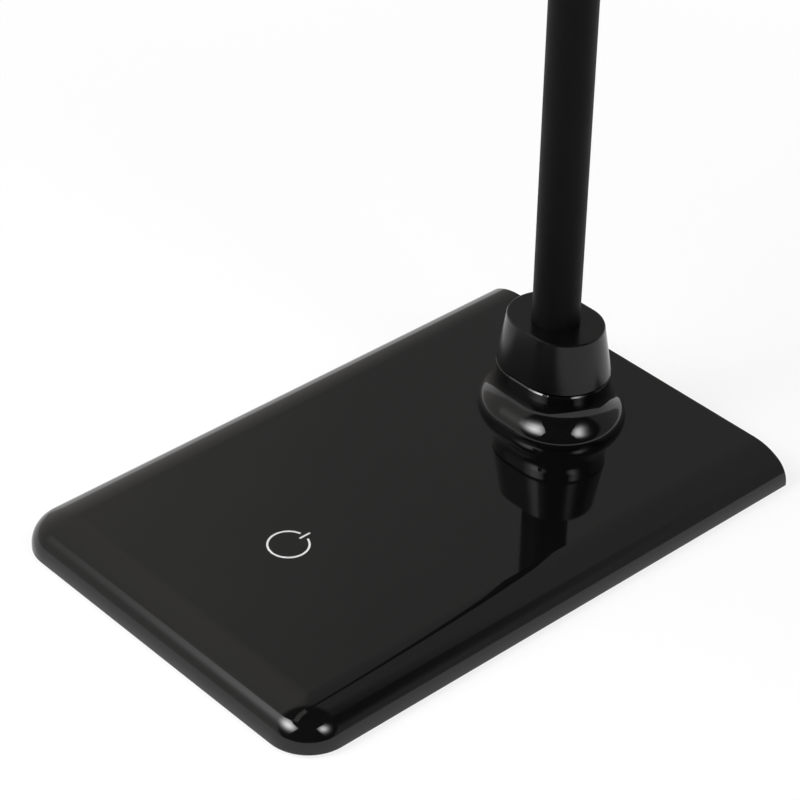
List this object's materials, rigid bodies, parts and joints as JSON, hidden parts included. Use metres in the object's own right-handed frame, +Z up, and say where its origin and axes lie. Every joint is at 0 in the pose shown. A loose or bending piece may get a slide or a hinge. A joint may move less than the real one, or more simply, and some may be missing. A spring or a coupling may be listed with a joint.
{
  "type": "gooseneck desk lamp",
  "caption": "Desk lamp with a slim weighted base that has a rolled edge and a touch switch, a sleeved gooseneck and a level panel head.",
  "frame": {"origin": "middle of the underside of the base, on the table", "axes": "+X across the lamp to the user's right, -Y towards the user, +Z up"},
  "size_m": [0.143, 0.3594, 0.3478],
  "materials": {
    "aluminium": "rolled sheet",
    "ballast_steel": "sheared steel plate",
    "board_aluminium": "aluminium-core board, white mask",
    "brass": "turned, bright",
    "cable_jacket": "smooth PVC",
    "circuit_green": "glass-fibre board with solder mask",
    "component_black": "moulded epoxy and ferrite",
    "dark_steel": "black oxide",
    "foam": "closed-cell foam, matt",
    "gloss_black": "moulded gloss black",
    "led_resin": "phosphor resin in a white frame",
    "matt_black": "moulded fine matt black",
    "opal": "frosted acrylic",
    "sleeve": "soft-touch silicone, matt",
    "white_reflector": "white film",
    "wire_insulation": "PVC wire insulation",
    "zinc_steel": "bright zinc plate"
  },
  "bodies": {
    "base": {"foam_pad": "foam", "base_plate": "matt_black", "base_cover": "gloss_black", "ballast_plate": "ballast_steel", "ballast_screws": "zinc_steel", "cover_screws": "zinc_steel", "touch_board": "circuit_green", "touch_spring": "zinc_steel", "driver_board": "circuit_green", "driver_parts": "component_black", "board_screws": "zinc_steel", "dc_jack": "matt_black", "jack_pin": "brass", "base_wiring": "wire_insulation", "lower_fitting": "zinc_steel", "lower_washer": "zinc_steel", "lower_nut": "brass", "lower_grub_screws": "dark_steel", "lower_collar": "gloss_black", "neck_link_0": "zinc_steel", "neck_sleeve": "sleeve", "neck_cable": "cable_jacket"},
    "neck_1": {"neck_link_1": "zinc_steel"},
    "neck_2": {"neck_link_2": "zinc_steel"},
    "neck_3": {"neck_link_3": "zinc_steel"},
    "neck_4": {"neck_link_4": "zinc_steel"},
    "neck_5": {"neck_link_5": "zinc_steel"},
    "neck_6": {"neck_link_6": "zinc_steel"},
    "neck_7": {"neck_link_7": "zinc_steel"},
    "neck_8": {"neck_link_8": "zinc_steel"},
    "neck_9": {"neck_link_9": "zinc_steel"},
    "neck_10": {"neck_link_10": "zinc_steel"},
    "head": {"neck_link_11": "zinc_steel", "upper_fitting": "zinc_steel", "upper_washer": "zinc_steel", "upper_nut": "brass", "upper_grub_screws": "dark_steel", "upper_collar": "gloss_black", "head_cover": "gloss_black", "head_frame": "matt_black", "diffuser": "opal", "reflector_sheet": "white_reflector", "leds": "led_resin", "led_board": "board_aluminium", "heat_spreader": "aluminium", "head_screws": "zinc_steel", "head_wiring": "wire_insulation"}
  },
  "joints": [
    {"name": "neck_bend_1", "type": "hinge", "parent": "base", "child": "neck_1", "pos_m": [0, 0.0656, 0.064], "axis": [1, 0, 0], "range_deg": [-12, 8], "deforming": ["neck_sleeve", "neck_cable"]},
    {"name": "neck_sway_2", "type": "hinge", "parent": "neck_1", "child": "neck_2", "pos_m": [0, 0.0656, 0.101], "axis": [0, 1, 0], "range_deg": [-10, 10]},
    {"name": "neck_bend_3", "type": "hinge", "parent": "neck_2", "child": "neck_3", "pos_m": [0, 0.0656, 0.138], "axis": [1, 0, 0], "range_deg": [-12, 8]},
    {"name": "neck_sway_4", "type": "hinge", "parent": "neck_3", "child": "neck_4", "pos_m": [0, 0.0656, 0.175], "axis": [0, 1, 0], "range_deg": [-10, 10]},
    {"name": "neck_bend_5", "type": "hinge", "parent": "neck_4", "child": "neck_5", "pos_m": [0, 0.0656, 0.212], "axis": [1, 0, 0], "range_deg": [-12, 8]},
    {"name": "neck_sway_6", "type": "hinge", "parent": "neck_5", "child": "neck_6", "pos_m": [0, 0.0656, 0.249], "axis": [0, 1, 0], "range_deg": [-10, 10]},
    {"name": "neck_bend_7", "type": "hinge", "parent": "neck_6", "child": "neck_7", "pos_m": [0, 0.06139, 0.27558], "axis": [1, 0, 0], "range_deg": [-15, 6]},
    {"name": "neck_sway_8", "type": "hinge", "parent": "neck_7", "child": "neck_8", "pos_m": [0, 0.04918, 0.29955], "axis": [0, 0.809, 0.5878], "range_deg": [-10, 10]},
    {"name": "neck_bend_9", "type": "hinge", "parent": "neck_8", "child": "neck_9", "pos_m": [0, 0.03015, 0.31857], "axis": [1, 0, 0], "range_deg": [-15, 6]},
    {"name": "neck_sway_10", "type": "hinge", "parent": "neck_9", "child": "neck_10", "pos_m": [0, 0.00617, 0.33079], "axis": [0, 0.309, 0.9511], "range_deg": [-10, 10]},
    {"name": "neck_bend_11", "type": "hinge", "parent": "neck_10", "child": "head", "pos_m": [0, -0.0204, 0.335], "axis": [1, 0, 0], "range_deg": [-15, 6]}
  ],
  "couplings": [
    {"joint": "neck_bend_3", "follows": "neck_bend_1", "ratio": 1},
    {"joint": "neck_sway_4", "follows": "neck_sway_2", "ratio": 1},
    {"joint": "neck_bend_5", "follows": "neck_bend_1", "ratio": 1},
    {"joint": "neck_sway_6", "follows": "neck_sway_2", "ratio": 1},
    {"joint": "neck_bend_9", "follows": "neck_bend_7", "ratio": 1},
    {"joint": "neck_sway_10", "follows": "neck_sway_8", "ratio": 1},
    {"joint": "neck_bend_11", "follows": "neck_bend_7", "ratio": 1}
  ]
}
